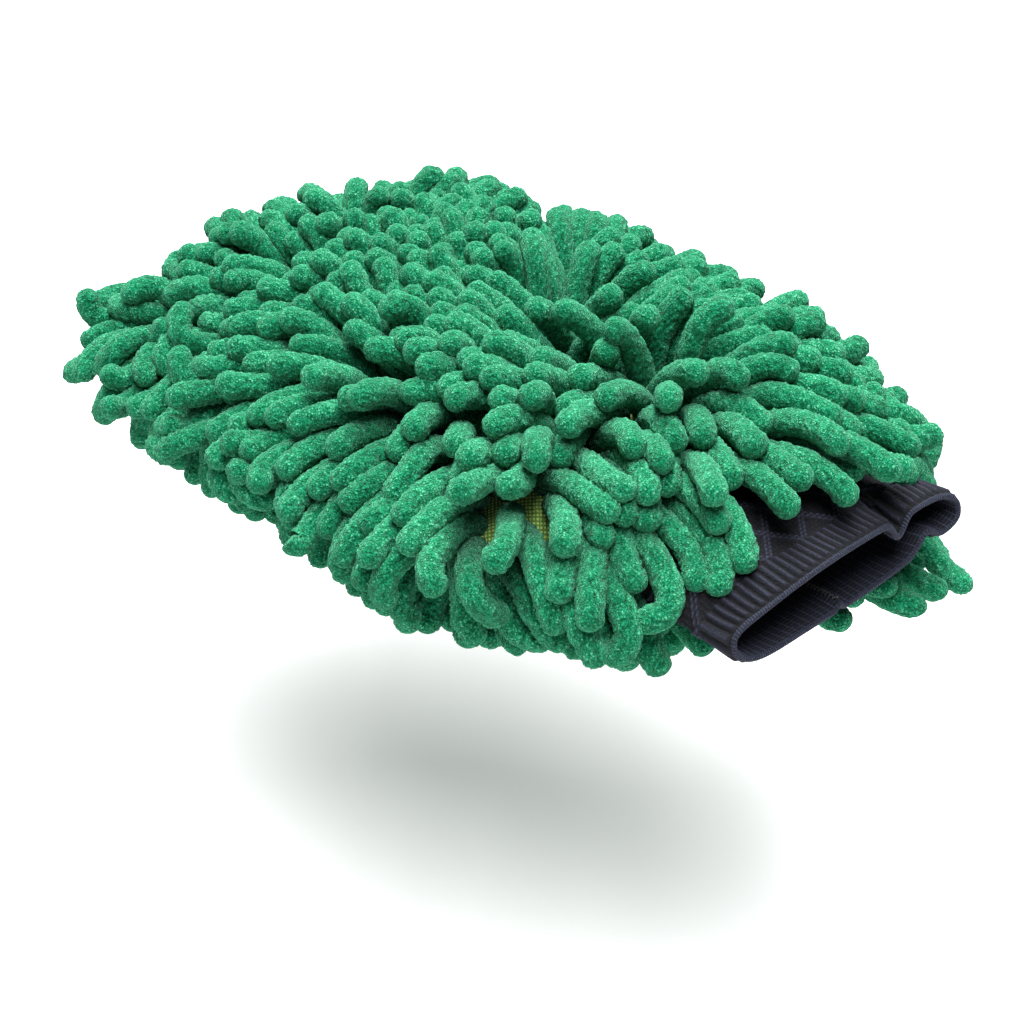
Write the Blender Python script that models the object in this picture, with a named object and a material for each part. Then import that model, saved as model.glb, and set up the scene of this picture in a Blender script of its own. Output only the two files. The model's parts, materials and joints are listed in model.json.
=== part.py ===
"""Chenille wash mitt: a flat hand bag covered on both sides with rows of plush fingers, and a knitted cuff.

Metres. X runs from the cuff mouth to the finger end, Y across the hand, Z up from the palm side. The origin is
the centre of the bottom of the bounding box. Each pile row is a band of plush fingers that is knitted into the
backing, drawn as one comb whose teeth stand for groups of fingers.
"""

import math

import bmesh
import bpy
import numpy as np

# ---- driving dimensions -------------------------------------------------------------------------------------
LENGTH = 0.269  # cuff mouth to the outermost pile at the finger end
WIDTH = 0.197  # across the pile
ABOVE = 0.045  # highest pile above the side seam
BELOW = 0.033  # lowest pile under the side seam, pressed flat by the mitt's own weight

BAG_WRIST = 0.043  # the bag starts here, measured from the cuff mouth
BAG_TIP = 0.243
BAG_HALF_WIDTH = 0.074
WRIST_HALF_WIDTH = 0.052
SHOULDER_LENGTH = 0.027
TIP_CORNER_RADIUS = 0.036
TIP_SLOPE_LENGTH = 0.060
CROWN = {"top": 0.020, "palm": 0.012}  # height of the bag's faces above and under the side seam
WRIST_CROWN = 0.0135
CROWN_POWER = 2.4
SEAM_GAP = 0.0003

BACKING_THICKNESS = 0.0012
LINING_INSET = 0.008
LINING_DROP = 0.0022
LINING_THICKNESS = 0.0008
SHEET_EDGE = 0.0008

KNUCKLE_GAP = 0.006  # clear space between the hand half and the finger half of the bag
KNUCKLE_ROW_OFFSET = 0.0105  # from the knuckle line to the middle of the nearest pile row
KNUCKLE_LEAN = {"top": math.radians(6), "palm": math.radians(17)}
KNUCKLE_LEAN_REACH = 0.062

PILE_ROWS = 12
PILE_LENGTH = 0.029
PILE_FOOT = 0.005  # height of the band that holds a row's fingers together
PILE_ROW_THICKNESS = 0.0135
PILE_CLEARANCE = 0.0008
PILE_FIRST = BAG_WRIST + 0.010
PILE_LAST = BAG_TIP - 0.008
PILE_SIDE_MARGIN = 0.0025
TOOTH_PITCH = 0.0154
TOOTH_SHARE = 0.7
PILE_FAN = 0.045  # within this distance of an edge the fingers start to lean outwards
PILE_EDGE_TILT = math.radians(80)
PILE_WRIST_TILT = math.radians(38)

CUFF_MOUTH_HALF_WIDTH = 0.044
CUFF_MOUTH_HALF_HEIGHT = 0.009
CUFF_WRIST_HALF_WIDTH = 0.049
CUFF_WRIST_HALF_HEIGHT = 0.0125
CUFF_SAG = 0.004  # how far the mouth hangs under the side seam
CUFF_END = BAG_WRIST - 0.0065
CUFF_THICKNESS = 0.0018
CUFF_POWER = 2.3
RIM_RADIUS = 0.0022
RIM_BORE = 0.0014
ELASTIC_RADIUS = 0.0010
FOLD_GAP = 0.0004
THREAD_RADIUS = 0.0006
CUFF_SEAM_START = 2 * RIM_RADIUS + 0.002
CUFF_SEAM_END = CUFF_END - 0.001
WRIST_SEAM_X = BAG_WRIST + 0.0025
WRIST_SEAM_INSET = LINING_INSET + 0.006
WRIST_SEAM_DROP = LINING_DROP + LINING_THICKNESS + 0.002
WRIST_SEAM_SHARE = 0.92  # how far the wrist seam's ring goes towards the side seams
SEAM_OFFSET = 0.0012  # from the bag's edge to the middle of the thread round it
CLEARANCE = 0.0003

SIDES = {"top": 1.0, "palm": -1.0}
MIDDLE = (BAG_WRIST + BAG_TIP) / 2  # the knuckle line
SHIFT = np.array([-LENGTH / 2, 0.0, BELOW])  # from the mouth and side seam to the origin

# Joint axes, all along Y, measured from the mouth and the side seam.
KNUCKLE_AXIS = (MIDDLE, 0.0, 0.0)
WRIST_AXIS = (BAG_WRIST, 0.0, 0.0)
MOUTH_AXIS = (BAG_WRIST - 0.004, 0.0, CUFF_WRIST_HALF_HEIGHT)


# ---- small helpers ------------------------------------------------------------------------------------------
def clamp(u):
    return min(max(u, 0.0), 1.0)


def ease(u):
    return clamp(u) ** 2 * (3.0 - 2.0 * clamp(u))


def mix(a, b, u):
    return a + (b - a) * u


def linear(value):
    return value / 12.92 if value <= 0.04045 else ((value + 0.055) / 1.055) ** 2.4


def make_material(name, colour, roughness):
    material = bpy.data.materials.new(name)
    material.use_nodes = True
    shader = material.node_tree.nodes["Principled BSDF"]
    shader.inputs["Base Color"].default_value = (*[linear(c / 255) for c in colour], 1.0)
    shader.inputs["Roughness"].default_value = roughness
    shader.inputs["Metallic"].default_value = 0.0
    return material


def add_part(name, points, faces, material, parent):
    """One closed solid from points given from the mouth and the side seam, hung on its joint's empty."""
    mesh = bpy.data.meshes.new(name)
    bm = bmesh.new()
    pivot = np.array(parent.location)
    verts = [bm.verts.new(tuple(np.array(p) + SHIFT - pivot)) for p in points]
    for face in faces:
        bm.faces.new([verts[i] for i in face])
    bmesh.ops.triangulate(bm, faces=bm.faces[:])
    bmesh.ops.recalc_face_normals(bm, faces=bm.faces[:])
    bm.to_mesh(mesh)
    bm.free()
    mesh.shade_smooth()
    mesh.set_sharp_from_angle(angle=math.radians(35))
    mesh.materials.append(material)
    part = bpy.data.objects.new(name, mesh)
    bpy.context.scene.collection.objects.link(part)
    part.parent = parent
    return part


def grid_faces(rows, columns, start):
    """Quads between rows of points that are numbered row by row from start."""
    faces = []
    for i in range(rows - 1):
        for j in range(columns - 1):
            a = start + i * columns + j
            faces.append((a, a + 1, a + 1 + columns, a + columns))
    return faces


def slab(outer, inner):
    """Points and faces of a sheet between two grids of the same shape, closed along its whole edge."""
    rows, columns = len(outer), len(outer[0])
    count = rows * columns
    points = [p for row in outer for p in row] + [p for row in inner for p in row]
    faces = grid_faces(rows, columns, 0) + [f[::-1] for f in grid_faces(rows, columns, count)]
    rim = list(range(columns))
    rim += [i * columns + columns - 1 for i in range(1, rows)]
    rim += [(rows - 1) * columns + j for j in range(columns - 2, -1, -1)]
    rim += [i * columns for i in range(rows - 2, 0, -1)]
    for a, b in zip(rim, rim[1:] + rim[:1]):
        faces.append((b, a, a + count, b + count))
    return points, faces


def ring_faces(sections, sides, closed):
    """Quads of a swept tube whose sections are numbered one after another."""
    faces = []
    last = sections if closed else sections - 1
    for i in range(last):
        for j in range(sides):
            a = i * sides + j
            b = i * sides + (j + 1) % sides
            k = ((i + 1) % sections) * sides
            faces.append((a, b, k + (j + 1) % sides, k + j))
    return faces


def tube(path, radius, sides, closed=False, bore=0.0, level_ends=False):
    """A round cord along a path, or a hose with open ends where it has a bore."""
    path = [np.array(p, float) for p in path]
    count = len(path)
    sections = []
    for i, centre in enumerate(path):
        before = path[i - 1] if closed or i > 0 else path[0]
        after = path[(i + 1) % count] if closed or i < count - 1 else path[-1]
        along = after - before
        if level_ends and i in (0, count - 1):
            along = np.array([0.0, 0.0, along[2]])
        along /= np.linalg.norm(along)
        # Every path here stays in one plane, across or along the mitt, so one fixed direction is across it.
        across = np.array([1.0, 0.0, 0.0]) if abs(along[0]) < 0.05 else np.array([0.0, 0.0, 1.0])
        across -= along * (across @ along)
        across /= np.linalg.norm(across)
        sections.append((centre, across, np.cross(along, across)))
    points = []
    for size in (radius, bore) if bore else (radius,):
        for centre, u, v in sections:
            for j in range(sides):
                angle = 2 * math.pi * (j + 0.5) / sides
                points.append(centre + size * (math.cos(angle) * u + math.sin(angle) * v))
    faces = ring_faces(count, sides, closed)
    if bore:
        inner = count * sides
        faces += [tuple(i + inner for i in f[::-1]) for f in faces]
        for first in (0, (count - 1) * sides):
            for j in range(sides):
                a, b = first + j, first + (j + 1) % sides
                faces.append((a, b, b + inner, a + inner))
    elif not closed:
        faces.append(tuple(range(sides)))
        faces.append(tuple(range((count - 1) * sides, count * sides)))
    return points, faces


# ---- the bag's shape ----------------------------------------------------------------------------------------
def half_width(x, inset=0.0):
    """Half the bag's width in plan: a rounded finger end and a short shoulder down to the wrist."""
    radius = TIP_CORNER_RADIUS - inset
    corner = BAG_TIP - inset - radius
    wide = mix(WRIST_HALF_WIDTH, BAG_HALF_WIDTH, ease((x - BAG_WRIST) / SHOULDER_LENGTH)) - inset
    if x <= corner:
        return wide
    return wide - radius + math.sqrt(max(radius**2 - (x - corner) ** 2, 0.0))


def crown(x, side, inset=0.0, drop=0.0):
    """Height of the bag's face on the centre line, above or under the side seam."""
    full = mix(WRIST_CROWN, CROWN[side], ease((x - BAG_WRIST) / SHOULDER_LENGTH)) - drop
    slope = clamp((x - (BAG_TIP - inset - TIP_SLOPE_LENGTH)) / TIP_SLOPE_LENGTH)
    return full * (1.0 - slope**CROWN_POWER)


def skin(x, t, side, inset=0.0, drop=0.0):
    """A point of the bag's face: t runs from -1 at one side seam to 1 at the other."""
    rise = crown(x, side, inset, drop) * (1.0 - min(abs(t), 1.0) ** CROWN_POWER)
    return np.array([x, t * half_width(x, inset), SIDES[side] * (SEAM_GAP / 2 + rise)])


def hand_stations(_inset=0.0):
    shoulder = [BAG_WRIST + SHOULDER_LENGTH * u for u in (0.0, 0.25, 0.5, 0.75, 1.0)]
    return shoulder + [mix(shoulder[-1], MIDDLE, 0.5), MIDDLE - KNUCKLE_GAP / 2]


def finger_stations(inset=0.0):
    corner = BAG_TIP - TIP_CORNER_RADIUS
    slope_start = BAG_TIP - TIP_SLOPE_LENGTH
    turns = [corner + (TIP_CORNER_RADIUS - inset) * math.sin(math.radians(a)) for a in (0, 22.5, 45, 67.5, 90)]
    return [MIDDLE + KNUCKLE_GAP / 2, mix(MIDDLE, slope_start, 0.5), slope_start] + turns


def bag_sheet(stations, side, inset, drop, thickness):
    """One sheet of fabric over one half of one face of the bag."""
    across = np.linspace(-1.0, 1.0, 11)
    outer = [[skin(x, t, side, inset, drop) for t in across] for x in stations(inset)]
    deep = inset + SHEET_EDGE
    inner = [[skin(x, t, side, deep, drop + thickness) for t in across] for x in stations(deep)]
    return slab(outer, inner)


# ---- the pile -----------------------------------------------------------------------------------------------
def pile_lean(x, y, side):
    """How far a finger leans forward and sideways at its root, in radians."""
    tip = clamp(1.0 - (BAG_TIP - x) / PILE_FAN)
    wrist = clamp(1.0 - (x - BAG_WRIST) / PILE_FAN)
    forward = PILE_EDGE_TILT * tip**1.2 - PILE_WRIST_TILT * wrist
    from_knuckle = x - MIDDLE
    forward += math.copysign(KNUCKLE_LEAN[side] * clamp(1 - abs(from_knuckle) / KNUCKLE_LEAN_REACH), from_knuckle)
    edge = clamp(1.0 - (half_width(x) - abs(y)) / PILE_FAN)
    return forward, math.copysign(PILE_EDGE_TILT * edge**1.2, y)


def pile_direction(x, y, side):
    forward, sideways = pile_lean(x, y, side)
    lean = math.hypot(forward, sideways)
    if lean < 1e-9:
        return np.array([0.0, 0.0, SIDES[side]])
    tilt = min(lean, PILE_EDGE_TILT)
    flat = math.sin(tilt) / lean
    return np.array([forward * flat, sideways * flat, SIDES[side] * math.cos(tilt)])


def pile_point(x, t, side, height):
    """A point in the pile over one place of the bag, kept inside the mitt's overall size."""
    root = skin(x, t, side) + np.array([0.0, 0.0, SIDES[side] * PILE_CLEARANCE])
    way = pile_direction(x, root[1], side)
    limits = [height]
    if way[0] > 1e-6:
        limits.append((LENGTH - root[0]) / way[0])
    if abs(way[1]) > 1e-6:
        limits.append((WIDTH / 2 - abs(root[1])) / abs(way[1]))
    room = ABOVE if side == "top" else BELOW
    limits.append((room - abs(root[2])) / abs(way[2]))
    return root + way * min(limits)


def row_places():
    """The middle of each row, half of them on each side of the knuckle line."""
    hand = np.linspace(PILE_FIRST, MIDDLE - KNUCKLE_ROW_OFFSET, PILE_ROWS // 2)
    fingers = np.linspace(MIDDLE + KNUCKLE_ROW_OFFSET, PILE_LAST, PILE_ROWS // 2)
    return [*hand, *fingers]


def tooth_edges(x):
    """Where each tooth of the row at x starts and ends, as shares of the bag's half-width."""
    margin = 1.0 - PILE_SIDE_MARGIN / half_width(x)
    count = round(2 * half_width(x) / TOOTH_PITCH)
    pitch = 2 * margin / count
    gap = pitch * (1 - TOOTH_SHARE)
    first = -margin
    edges = []
    for k in range(count):
        left = first + k * pitch + (gap / 2 if k else 0.0)
        right = first + (k + 1) * pitch - (gap / 2 if k < count - 1 else 0.0)
        edges.append((left, right))
    return edges


def pile_row(x, side):
    """A comb across the bag: a low band that is knitted into the backing, with a tooth for each finger group."""
    half = PILE_ROW_THICKNESS / 2
    curved = x < BAG_WRIST + SHOULDER_LENGTH + half or x > BAG_TIP - TIP_CORNER_RADIUS - half
    places = np.linspace(x - half, x + half, 3 if curved else 2)
    last = len(places) - 1
    points, faces = [], []

    def station(t, height):
        index = len(points)
        points.extend(pile_point(place, t, side, height) for place in places)
        return index

    def strip(a, b):
        faces.extend((a + k, b + k, b + k + 1, a + k + 1) for k in range(last))

    def ends(*corners):
        faces.extend(tuple(c + k for c in corners) for k in (0, last))

    previous = None
    for left, right in tooth_edges(x):
        foot_left, foot_right = station(left, 0.0), station(right, 0.0)
        band_left, band_right = station(left, PILE_FOOT), station(right, PILE_FOOT)
        tip_left, tip_right = station(left, PILE_LENGTH), station(right, PILE_LENGTH)
        strip(foot_left, foot_right)
        strip(tip_left, tip_right)
        strip(band_left, tip_left)
        strip(band_right, tip_right)
        ends(foot_left, foot_right, band_right, band_left)
        ends(band_left, band_right, tip_right, tip_left)
        if previous is None:
            strip(foot_left, band_left)
        else:
            strip(previous[0], foot_left)
            strip(previous[1], band_left)
            ends(previous[0], foot_left, band_left, previous[1])
        previous = (foot_right, band_right)
    strip(*previous)
    return points, faces


# ---- the cuff -----------------------------------------------------------------------------------------------
def cuff_point(x, angle, depth=0.0, centre_gap=0.0):
    """A point round the cuff, depth under its outer face; angle 0 and pi are its side folds."""
    u = x / BAG_WRIST
    wide = mix(CUFF_MOUTH_HALF_WIDTH, CUFF_WRIST_HALF_WIDTH, u) - depth
    high = mix(CUFF_MOUTH_HALF_HEIGHT, CUFF_WRIST_HALF_HEIGHT, u) - depth
    c, s = math.cos(angle), math.sin(angle)
    y = math.copysign(abs(c) ** (2 / CUFF_POWER) * wide, c)
    z = math.copysign(abs(s) ** (2 / CUFF_POWER) * high, s) if abs(s) > 1e-9 else 0.0
    return np.array([x, y, z - CUFF_SAG * (1 - ease(u)) + centre_gap])


def cuff_angles(side, count):
    start = 0.0 if side > 0 else math.pi
    return [start + math.pi * k / count for k in range(count + 1)]


def cuff_half(side):
    """Half of the knitted tube, from the rolled rim to just short of the wrist seam."""
    places = np.linspace(2 * RIM_RADIUS + CLEARANCE, CUFF_END, 3)
    angles = cuff_angles(side, 14)
    gap = side * FOLD_GAP / 2
    outer = [[cuff_point(x, a, 0.0, gap) for a in angles] for x in places]
    inner = [[cuff_point(x, a, CUFF_THICKNESS, gap) for a in angles] for x in places]
    return slab(outer, inner)


def rim_path(side):
    gap = side * FOLD_GAP / 2
    return [cuff_point(RIM_RADIUS, a, CUFF_THICKNESS / 2, gap) for a in cuff_angles(side, 12)]


def cuff_seam_path():
    """Along the middle of the lower half's inside, where the tube is closed."""
    lift = CLEARANCE + THREAD_RADIUS
    places = np.linspace(CUFF_SEAM_START, CUFF_SEAM_END, 3)
    return [cuff_point(x, 1.5 * math.pi, CUFF_THICKNESS) + np.array([0.0, 0.0, lift]) for x in places]


# ---- threads ------------------------------------------------------------------------------------------------
def seam_point(x, y_sign):
    return np.array([x, y_sign * (half_width(x) + SEAM_OFFSET), 0.0])


def tip_seam_path():
    """Round the finger end, just outside the edge where the two faces meet."""
    stations = finger_stations()
    path = [seam_point(x, -1) for x in stations[:4]]
    corner_x, corner_y = BAG_TIP - TIP_CORNER_RADIUS, BAG_HALF_WIDTH - TIP_CORNER_RADIUS
    reach = TIP_CORNER_RADIUS + SEAM_OFFSET
    for sign, angles in ((-1, (22.5, 45, 67.5, 90)), (1, (90, 67.5, 45, 22.5))):
        for a in (math.radians(v) for v in angles):
            path.append(np.array([corner_x + reach * math.sin(a), sign * (corner_y + reach * math.cos(a)), 0.0]))
    return path + [seam_point(x, 1) for x in reversed(stations[:4])]


def wrist_seam_path():
    """A ring on the inside of the lining at the wrist."""
    across = np.linspace(-WRIST_SEAM_SHARE, WRIST_SEAM_SHARE, 9)
    over = [skin(WRIST_SEAM_X, t, "top", WRIST_SEAM_INSET, WRIST_SEAM_DROP) for t in across]
    under = [skin(WRIST_SEAM_X, t, "palm", WRIST_SEAM_INSET, WRIST_SEAM_DROP) for t in across[::-1]]
    return over + under


# ---- assembly -----------------------------------------------------------------------------------------------
def add_pivot(name, place):
    pivot = bpy.data.objects.new(name, None)
    pivot.location = tuple(np.array(place) + SHIFT)
    pivot.empty_display_size = 0.02
    bpy.context.scene.collection.objects.link(pivot)
    return pivot


def build_bag(hand, fingers, backing, lining, thread):
    halves = (("hand", hand_stations, hand), ("finger", finger_stations, fingers))
    for side in SIDES:
        for label, stations, parent in halves:
            sheet = bag_sheet(stations, side, 0.0, 0.0, BACKING_THICKNESS)
            add_part(f"backing_{side}_{label}", *sheet, backing, parent)
            sheet = bag_sheet(stations, side, LINING_INSET, LINING_DROP, LINING_THICKNESS)
            add_part(f"lining_{side}_{label}", *sheet, lining, parent)
    for label, sign in (("left", 1), ("right", -1)):
        path = [seam_point(x, sign) for x in hand_stations()]
        add_part(f"side_seam_thread_{label}", *tube(path, THREAD_RADIUS, 5), thread, hand)
    add_part("tip_seam_thread", *tube(tip_seam_path(), THREAD_RADIUS, 5), thread, fingers)
    add_part("wrist_seam_thread", *tube(wrist_seam_path(), THREAD_RADIUS, 4, closed=True), thread, hand)


def build_pile(hand, fingers, pile):
    for side in SIDES:
        for number, x in enumerate(row_places(), start=1):
            parent = hand if x < MIDDLE else fingers
            add_part(f"pile_{side}_row_{number:02d}", *pile_row(x, side), pile, parent)


def build_cuff(lower, upper, knit, rolled, elastic, thread):
    for label, side, parent in (("upper", 1, upper), ("lower", -1, lower)):
        rim = tube(rim_path(side), RIM_RADIUS, 8, bore=RIM_BORE, level_ends=True)
        cord = tube(rim_path(side), ELASTIC_RADIUS, 6, level_ends=True)
        add_part(f"cuff_knit_{label}", *cuff_half(side), knit, parent)
        add_part(f"cuff_rim_{label}", *rim, rolled, parent)
        add_part(f"elastic_cord_{label}", *cord, elastic, parent)
    add_part("cuff_seam_thread", *tube(cuff_seam_path(), THREAD_RADIUS, 4), thread, lower)


def main():
    for item in list(bpy.data.objects):
        bpy.data.objects.remove(item, do_unlink=True)
    pile = make_material("pile_green", (28, 130, 88), 0.95)
    backing = make_material("backing_lime", (176, 206, 104), 0.85)
    lining = make_material("lining_green", (24, 84, 62), 0.9)
    thread = make_material("thread_green", (30, 110, 76), 0.7)
    knit = make_material("cuff_navy", (33, 36, 46), 0.9)
    rolled = make_material("rim_navy", (40, 44, 56), 0.85)
    elastic = make_material("elastic_white", (225, 225, 220), 0.6)

    hand = add_pivot("hand_section", (0.0, 0.0, 0.0))
    fingers = add_pivot("knuckle_axis", KNUCKLE_AXIS)
    lower = add_pivot("wrist_axis", WRIST_AXIS)
    upper = add_pivot("mouth_axis", MOUTH_AXIS)
    build_bag(hand, fingers, backing, lining, thread)
    build_pile(hand, fingers, pile)
    build_cuff(lower, upper, knit, rolled, elastic, thread)
    bpy.context.view_layer.update()


main()
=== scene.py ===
"""Looks of the chenille wash mitt: soft fingers settled by a small rod simulation, and a knitted cuff.

Metres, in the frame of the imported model, where X runs from the wrist to the tip, Y to the left and Z up.
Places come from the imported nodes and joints. "top" and "palm" are the bag's two faces.
"""

import json
import math

import bpy
import numpy as np
from mathutils import Matrix, Quaternion, Vector
from mathutils.kdtree import KDTree


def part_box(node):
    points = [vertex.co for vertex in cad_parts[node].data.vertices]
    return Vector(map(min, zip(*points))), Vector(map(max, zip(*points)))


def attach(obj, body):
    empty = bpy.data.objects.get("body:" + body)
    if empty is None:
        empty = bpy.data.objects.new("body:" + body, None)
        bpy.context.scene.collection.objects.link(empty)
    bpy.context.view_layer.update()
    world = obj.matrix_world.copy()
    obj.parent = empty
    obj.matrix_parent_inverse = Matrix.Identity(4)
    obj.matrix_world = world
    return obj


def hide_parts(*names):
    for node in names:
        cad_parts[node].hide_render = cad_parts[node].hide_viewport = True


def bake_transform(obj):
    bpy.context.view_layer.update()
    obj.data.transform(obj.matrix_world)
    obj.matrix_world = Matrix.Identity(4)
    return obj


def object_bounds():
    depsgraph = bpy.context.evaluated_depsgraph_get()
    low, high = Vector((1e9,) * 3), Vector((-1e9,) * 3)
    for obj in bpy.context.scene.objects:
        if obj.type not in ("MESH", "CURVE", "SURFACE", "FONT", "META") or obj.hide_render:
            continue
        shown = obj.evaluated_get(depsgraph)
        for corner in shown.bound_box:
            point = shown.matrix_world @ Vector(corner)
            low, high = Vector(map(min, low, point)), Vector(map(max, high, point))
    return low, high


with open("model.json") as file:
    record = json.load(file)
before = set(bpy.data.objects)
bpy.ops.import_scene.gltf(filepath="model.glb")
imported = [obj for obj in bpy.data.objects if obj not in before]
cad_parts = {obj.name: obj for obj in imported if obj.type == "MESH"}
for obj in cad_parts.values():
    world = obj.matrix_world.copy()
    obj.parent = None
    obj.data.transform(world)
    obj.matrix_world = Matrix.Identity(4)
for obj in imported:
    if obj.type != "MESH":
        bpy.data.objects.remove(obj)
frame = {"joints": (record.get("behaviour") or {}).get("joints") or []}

CAD_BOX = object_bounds()
RNG = np.random.default_rng(274)
SIGN = {"top": 1.0, "palm": -1.0}
TINY = 1e-9

# ---- places taken from the frame ----
JOINTS = {joint["name"]: joint for joint in frame["joints"]}
KNUCKLE_X = JOINTS["knuckle_flex"]["pos_m"][0]
SEAM_Z = JOINTS["knuckle_flex"]["pos_m"][2]
WRIST_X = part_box("backing_top_hand")[0].x
TIP_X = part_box("backing_top_finger")[1].x
BAG_HALF_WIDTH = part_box("backing_top_hand")[1].y
CROWN = {
    "top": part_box("backing_top_finger")[1].z - SEAM_Z,
    "palm": SEAM_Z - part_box("backing_palm_finger")[0].z,
}
MOUTH_X = CAD_BOX[0].x
FRONT_X = CAD_BOX[1].x
HALF_WIDTH = CAD_BOX[1].y

# ---- the bag's shape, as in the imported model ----
WRIST_HALF_WIDTH = 0.052
WRIST_CROWN = 0.0135
SHOULDER = 0.027
TIP_CORNER = 0.036
TIP_SLOPE = 0.060
CROWN_POWER = 2.4
STEEPEST = 1.2  # slope of the face that still turns its normal

# ---- how the fingers are planted ----
ROWS = 12
LINES = 3  # of fingers in a pile row
PILE_FIRST = WRIST_X + 0.0015
PILE_LAST = TIP_X - 0.0035
FINGER_PITCH = 0.0106  # between the fingers of one line
EDGE_MARGIN = 0.0015  # from the seam to the outermost roots
ROOT_DEPTH = 0.0004  # of the roots in the backing
FIRST_ROOT = {"top": 0.25, "palm": 0.0}  # in pitches from the edge
SHARE_SCATTER = 0.12
LINE_SCATTER = 0.0006
SPARSE = 32.0  # spread of the lean, per metre, above which a gap gets more fingers
MOST_TWINS = 0.9
UPRIGHT = 0.5  # square of the lean up to which a finger counts as upright
TWIN_SCATTER = 0.3 * FINGER_PITCH

# ---- how the fingers lean, where 1 is 45 degrees ----
EDGE_FAN = 0.038  # width of the band along the edge in which the fingers fan outwards
WRIST_FAN = 0.034
LEAN_OUT = {"top": (2.4, 1.6), "palm": (-0.4, -0.4)}  # at the left and right edges
LEAN_BACK = {"top": 2.0, "palm": 3.0}  # over the cuff
LEAN_BACK_SKEW = 0.5  # more on the left and less on the right
EDGE_GROWTH = 1.3
WRIST_GROWTH = 1.1
WHORL = (WRIST_X + 0.012, 0.008)  # where the top fingers part in all directions
WHORL_REACH = 0.036
WHORL_CORE = 0.026
WHORL_PULL = (0.12, 0.14)  # near it and everywhere
LEAN_SEED = {"top": 11, "palm": 23}
LEAN_WANDER = 0.42
LEAN_WAVE = 0.055
LEAN_SCATTER = 0.30

# ---- the fingers' sizes ----
FINGER_LENGTH = 0.0340
LENGTH_SPREAD = (0.92, 1.10)
PALM_SHARE = 0.84  # of a top finger's length
OVER_CUFF = (0.18, 0.018)  # more length by the wrist, and how far from it
OVER_CUFF_RIGHT = 2.2
PAST_TIP = (0.24, 0.12)  # more length at the tip, left and right
PAST_TIP_REACH = 0.020
PALM_BEHIND = (0.40, 0.030, 0.05)  # more length of the palm's rear right fingers, over this X and Y
FINGER_RADIUS = 0.0036
RADIUS_SPREAD = 0.035
ROOT_TAPER = (0.72, 0.84, 0.94)  # of the radius at the first rings
TUFT_DEPTH = 0.00080
SWELL = 0.0004
POLE_TUFT = 0.7

# ---- how the fingers settle ----
CHAIN = 8  # beads in a finger's rod
STEPS = 120
DAMPING = 0.80
GRAVITY = 2.1e-4  # drop of a free bead in one step, metres
STIFFNESS = 0.18
ROOT_STIFFNESS = 0.60
BEAD_RADIUS = FINGER_RADIUS * 0.93  # a little less, so that plush presses into plush
PAIRS_EVERY = 8  # steps between two searches for neighbours
PAIR_SLACK = 0.0035
PUSH_PASSES = 2
PUSH = 0.55
SKIN_GAP = 0.75 * BEAD_RADIUS
SKIN_EDGE = 0.0015  # beads over a lower part of the bag than this may hang beside it
CUFF_GAP = 0.8 * BEAD_RADIUS
CUFF_SLACK = 0.004  # beads further inside the wrist than this don't feel the cuff
PILE_HEIGHT = 0.0310  # of the brushed pile over the bag's upper face
CEILING_PUSH = 0.3
TABLE_GAP = 0.9 * BEAD_RADIUS
PALM_LIFT = 0.008  # how far the palm's pile rises towards the wrist
PALM_LIFT_REACH = 0.055
DRAW_IN = 0.006  # how far the pile hangs outside the bag's edge near the table
DRAW_IN_Z = 0.008  # over this height it widens as fast as it rises
SIDE_SPILL = 0.004
TIP_SPILL = 0.009
STRAIGHTEN = 0.92

# ---- backing and lining ----
LIP_ROWS = 4
LIP_GATHER = 0.945  # how far the backing's wrist edge is drawn in to meet the cuff
SHEET_GAP = 0.0001
LINING_FIRST = WRIST_X + 0.010
LINING_LAST = TIP_X - 0.008
LINING_INSET = 0.008
LINING_DROP = 0.0026
LINING_RIB = 0.0012
LINING_WRINKLE = (0.0004, 0.030, 41)  # depth, wavelength and seed
KNUCKLE_BLEND = 0.032
WRIST_ROWS = WRIST_X + 0.030  # rows before this follow the cuff with their wrist end

# ---- cuff ----
CUFF_LENGTH = WRIST_X - MOUTH_X
CUFF_HALF_WIDTH = 0.044
CUFF_HALF_HEIGHT = 0.009
CUFF_FLARE = 0.002  # both grow by this towards the wrist
CUFF_POWER = 2.3
CUFF_INSIDE = 1.14  # of its length: the knit ends inside the bag, so that it never leaves the seam
CUFF_TUCK = 0.0006  # how far that part draws in
CUFF_SWING = math.radians(7)  # the mouth's turn about X: its left end hangs lower
CUFF_DROP = 0.0020  # how far the mouth's middle hangs under the side seam
CUFF_SHEET = 0.0007  # half the knit's thickness
FOLDS = (  # place along Y, depth, width and face of the mouth's folds
    (-0.019, 0.0056, 0.0032, 1),
    (-0.031, 0.0045, 0.0038, -1),
    (0.004, 0.0013, 0.0013, -1),
)
KNIT_RELIEF = 0.0012
INSIDE_RELIEF = 0.0004
RIBS = 74
STITCH = 0.0012
RUNG = 0.0011
HEM = 0.0100
DIAMONDS = 15
DIAMOND_HEIGHT = 0.0150
CORD = 0.105  # half a cord's width, in diamonds
CORD_GROOVE = 0.035
RIM_RADIUS = 0.00085
RIM_STITCHES = 240
SEAM_TWIST = 12  # points in one turn of a wound thread
SEAM_PITCH = 0.0024
CUFF_SEAM_ANGLE = 1.5 * math.pi + 0.06

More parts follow.
